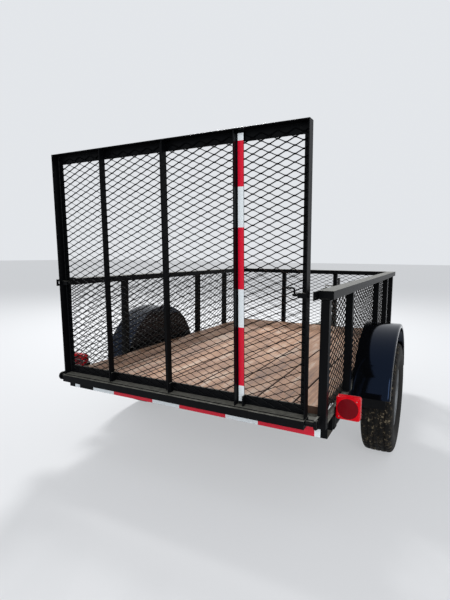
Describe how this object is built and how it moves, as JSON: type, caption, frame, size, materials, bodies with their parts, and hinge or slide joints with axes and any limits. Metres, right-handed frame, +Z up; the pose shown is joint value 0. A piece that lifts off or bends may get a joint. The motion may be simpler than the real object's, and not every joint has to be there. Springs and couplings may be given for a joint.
{
  "type": "single axle utility trailer with mesh sides and ramp gate",
  "caption": "Small towed trailer with a plank deck, expanded-metal sides and front, a full-width fold-down mesh ramp gate, round fenders, A-frame tongue with ball coupler and jack.",
  "frame": {"origin": "on the ground under the middle of the outer box", "axes": "+Y towards the towing vehicle, +X to the trailer's right, +Z up"},
  "size_m": [2.042, 3.6882, 1.7783],
  "materials": {
    "frame_paint": "gloss black enamel on steel tube and angle",
    "mesh_paint": "gloss black enamel on expanded steel",
    "gate_paint": "gloss black enamel on steel angle",
    "deck_timber": "weathered treated pine planks",
    "fender_paint": "high gloss black enamel on rolled sheet",
    "tyre_rubber": "black tyre rubber",
    "wheel_paint": "silver painted pressed steel",
    "hub_steel": "black cast hub with a bright dust cap",
    "zinc": "bright zinc plate",
    "crank_steel": "zinc plated rod with a moulded grip",
    "lamp_lens": "red moulded lens on a black housing"
  },
  "bodies": {
    "chassis": {"side_frame_left": "frame_paint", "side_frame_right": "frame_paint", "top_rail_left": "frame_paint", "top_rail_right": "frame_paint", "side_posts_left": "frame_paint", "side_posts_right": "frame_paint", "tongue_beam_left": "frame_paint", "tongue_beam_right": "frame_paint", "crossmembers": "frame_paint", "front_posts": "frame_paint", "top_rail_front": "frame_paint", "hinge_ears": "frame_paint", "fender_brackets": "frame_paint", "lamp_plates": "frame_paint", "coupler": "frame_paint", "spring_hangers": "frame_paint", "axle": "frame_paint", "leaf_springs": "frame_paint", "side_mesh_rising_left": "mesh_paint", "side_mesh_rising_right": "mesh_paint", "side_mesh_falling_left": "mesh_paint", "side_mesh_falling_right": "mesh_paint", "front_mesh_rising": "mesh_paint", "front_mesh_falling": "mesh_paint", "deck_boards": "deck_timber", "fender_left": "fender_paint", "fender_right": "fender_paint", "coupler_latch": "zinc", "jack_tube": "zinc", "jack_crank": "crank_steel", "tail_lamps": "lamp_lens"},
    "ramp_gate": {"gate_mesh_rising": "mesh_paint", "gate_mesh_falling": "mesh_paint", "gate_side_angles": "gate_paint", "gate_cross_angles": "gate_paint", "gate_uprights": "gate_paint", "gate_hinge_tube": "gate_paint", "gate_latch_pins": "zinc"},
    "wheel_left": {"tyre_left": "tyre_rubber", "rim_left": "wheel_paint", "hub_left": "hub_steel"},
    "wheel_right": {"tyre_right": "tyre_rubber", "rim_right": "wheel_paint", "hub_right": "hub_steel"},
    "jack_leg": {"jack_leg": "zinc"}
  },
  "joints": [
    {"name": "gate_hinge", "type": "hinge", "parent": "chassis", "child": "ramp_gate", "pos_m": [0, -1.78058, 0.507], "axis": [1, 0, 0], "range_deg": [0, 110]},
    {"name": "wheel_left_spin", "type": "hinge", "parent": "chassis", "child": "wheel_left", "pos_m": [-0.927, -0.71358, 0.344], "axis": [1, 0, 0], "continuous": true},
    {"name": "wheel_right_spin", "type": "hinge", "parent": "chassis", "child": "wheel_right", "pos_m": [0.927, -0.71358, 0.344], "axis": [1, 0, 0], "continuous": true},
    {"name": "jack_leg_slide", "type": "slide", "parent": "chassis", "child": "jack_leg", "axis": [0, 0, 1], "range_m": [0, 0.25]}
  ]
}
